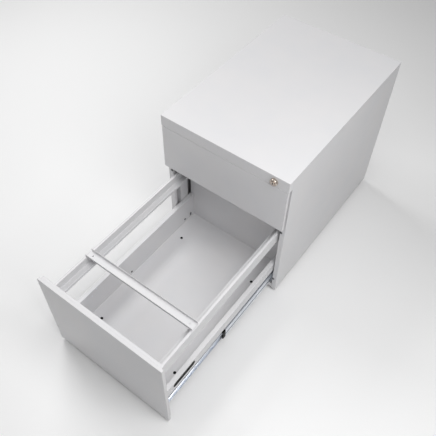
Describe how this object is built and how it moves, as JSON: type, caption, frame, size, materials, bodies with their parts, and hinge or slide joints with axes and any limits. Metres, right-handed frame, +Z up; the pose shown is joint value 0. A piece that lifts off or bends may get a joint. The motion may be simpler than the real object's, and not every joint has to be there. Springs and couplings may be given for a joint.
{
  "type": "metal filing cabinet",
  "caption": "Light grey steel under-desk filing cabinet: box drawer above an open filing drawer with hanging rails and crossbar, on ball-bearing runners, with a top lock.",
  "frame": {"origin": "on the floor, under the middle of the carcass (without the open drawer)", "axes": "+X to the right of a person facing the fronts, +Y from the fronts towards the back, +Z up"},
  "size_m": [0.4, 1.081, 0.502],
  "materials": {
    "grey_powder_coat": "fine-textured light grey powder coat on folded steel sheet",
    "zinc_plated_steel": "bright zinc-plated rolled steel",
    "black_plastic": "black moulded plastic",
    "nickel": "polished nickel-plated zinc casting",
    "grey_rubber": "grey rubber",
    "raw_steel": "mill-finish steel plate"
  },
  "bodies": {
    "cabinet": {"left_side_panel": "grey_powder_coat", "right_side_panel": "grey_powder_coat", "top_panel": "grey_powder_coat", "back_panel": "grey_powder_coat", "base_panel": "grey_powder_coat", "divider_rail": "grey_powder_coat", "left_front_post": "grey_powder_coat", "right_front_post": "grey_powder_coat", "left_rear_post": "grey_powder_coat", "right_rear_post": "grey_powder_coat", "ballast_plate": "raw_steel", "levelling_feet": "black_plastic", "foot_nuts": "zinc_plated_steel", "front_buffers": "grey_rubber", "lock_housing": "nickel", "lock_nut": "zinc_plated_steel", "lock_bar_guides": "black_plastic", "runner_screws": "zinc_plated_steel", "lower_left_cabinet_runner": "zinc_plated_steel", "lower_right_cabinet_runner": "zinc_plated_steel", "upper_left_cabinet_runner": "zinc_plated_steel", "upper_right_cabinet_runner": "zinc_plated_steel"},
    "lower_drawer": {"lower_front_skin": "grey_powder_coat", "lower_front_liner": "grey_powder_coat", "lower_left_side": "grey_powder_coat", "lower_right_side": "grey_powder_coat", "lower_drawer_floor": "grey_powder_coat", "lower_drawer_back": "grey_powder_coat", "lower_left_drawer_runner": "zinc_plated_steel", "lower_right_drawer_runner": "zinc_plated_steel", "lower_drawer_screws": "black_plastic", "lower_slot_covers": "black_plastic", "left_file_rail": "grey_powder_coat", "right_file_rail": "grey_powder_coat"},
    "lower_left_middle": {"lower_left_middle_runner": "zinc_plated_steel", "lower_left_runner_bumper": "black_plastic"},
    "lower_right_middle": {"lower_right_middle_runner": "zinc_plated_steel", "lower_right_runner_bumper": "black_plastic"},
    "lower_outer_cages": {"lower_outer_ball_cages": "zinc_plated_steel"},
    "lower_inner_cages": {"lower_inner_ball_cages": "zinc_plated_steel"},
    "upper_drawer": {"upper_front_skin": "grey_powder_coat", "upper_front_liner": "grey_powder_coat", "upper_left_side": "grey_powder_coat", "upper_right_side": "grey_powder_coat", "upper_drawer_floor": "grey_powder_coat", "upper_drawer_back": "grey_powder_coat", "upper_left_drawer_runner": "zinc_plated_steel", "upper_right_drawer_runner": "zinc_plated_steel", "upper_drawer_screws": "black_plastic", "upper_slot_covers": "black_plastic"},
    "upper_left_middle": {"upper_left_middle_runner": "zinc_plated_steel", "upper_left_runner_bumper": "black_plastic"},
    "upper_right_middle": {"upper_right_middle_runner": "zinc_plated_steel", "upper_right_runner_bumper": "black_plastic"},
    "upper_outer_cages": {"upper_outer_ball_cages": "zinc_plated_steel"},
    "upper_inner_cages": {"upper_inner_ball_cages": "zinc_plated_steel"},
    "crossbar": {"file_crossbar": "grey_powder_coat"},
    "lock_plug": {"lock_plug": "nickel", "lock_cam": "zinc_plated_steel"},
    "lock_bar": {"lock_bar": "zinc_plated_steel"}
  },
  "joints": [
    {"name": "lower_drawer_slide", "type": "slide", "parent": "cabinet", "child": "lower_drawer", "axis": [0, -1, 0], "range_m": [-0.481, 0]},
    {"name": "lower_left_middle_slide", "type": "slide", "parent": "cabinet", "child": "lower_left_middle", "axis": [0, -1, 0], "range_m": [-0.2405, 0]},
    {"name": "lower_right_middle_slide", "type": "slide", "parent": "cabinet", "child": "lower_right_middle", "axis": [0, -1, 0], "range_m": [-0.2405, 0]},
    {"name": "lower_outer_cages_slide", "type": "slide", "parent": "cabinet", "child": "lower_outer_cages", "axis": [0, -1, 0], "range_m": [-0.12025, 0]},
    {"name": "lower_inner_cages_slide", "type": "slide", "parent": "cabinet", "child": "lower_inner_cages", "axis": [0, -1, 0], "range_m": [-0.36075, 0]},
    {"name": "upper_drawer_slide", "type": "slide", "parent": "cabinet", "child": "upper_drawer", "axis": [0, -1, 0], "range_m": [0, 0.481]},
    {"name": "upper_left_middle_slide", "type": "slide", "parent": "cabinet", "child": "upper_left_middle", "axis": [0, -1, 0], "range_m": [0, 0.2405]},
    {"name": "upper_right_middle_slide", "type": "slide", "parent": "cabinet", "child": "upper_right_middle", "axis": [0, -1, 0], "range_m": [0, 0.2405]},
    {"name": "upper_outer_cages_slide", "type": "slide", "parent": "cabinet", "child": "upper_outer_cages", "axis": [0, -1, 0], "range_m": [0, 0.12025]},
    {"name": "upper_inner_cages_slide", "type": "slide", "parent": "cabinet", "child": "upper_inner_cages", "axis": [0, -1, 0], "range_m": [0, 0.36075]},
    {"name": "crossbar_slide", "type": "slide", "parent": "lower_drawer", "child": "crossbar", "axis": [0, 1, 0], "range_m": [-0.11, 0.4]},
    {"name": "lock_turn", "type": "hinge", "parent": "cabinet", "child": "lock_plug", "pos_m": [0.157, -0.3, 0.484], "axis": [0, 1, 0], "range_deg": [0, 90]},
    {"name": "lock_bar_slide", "type": "slide", "parent": "cabinet", "child": "lock_bar", "axis": [0, 0, -1], "range_m": [0, 0.01]}
  ],
  "couplings": [
    {"joint": "lower_left_middle_slide", "follows": "lower_drawer_slide", "ratio": 0.5},
    {"joint": "lower_right_middle_slide", "follows": "lower_drawer_slide", "ratio": 0.5},
    {"joint": "lower_outer_cages_slide", "follows": "lower_drawer_slide", "ratio": 0.25},
    {"joint": "lower_inner_cages_slide", "follows": "lower_drawer_slide", "ratio": 0.75},
    {"joint": "upper_left_middle_slide", "follows": "upper_drawer_slide", "ratio": 0.5},
    {"joint": "upper_right_middle_slide", "follows": "upper_drawer_slide", "ratio": 0.5},
    {"joint": "upper_outer_cages_slide", "follows": "upper_drawer_slide", "ratio": 0.25},
    {"joint": "upper_inner_cages_slide", "follows": "upper_drawer_slide", "ratio": 0.75},
    {"joint": "lock_turn", "follows": "lock_bar_slide", "rad_per_m": 157.08}
  ]
}
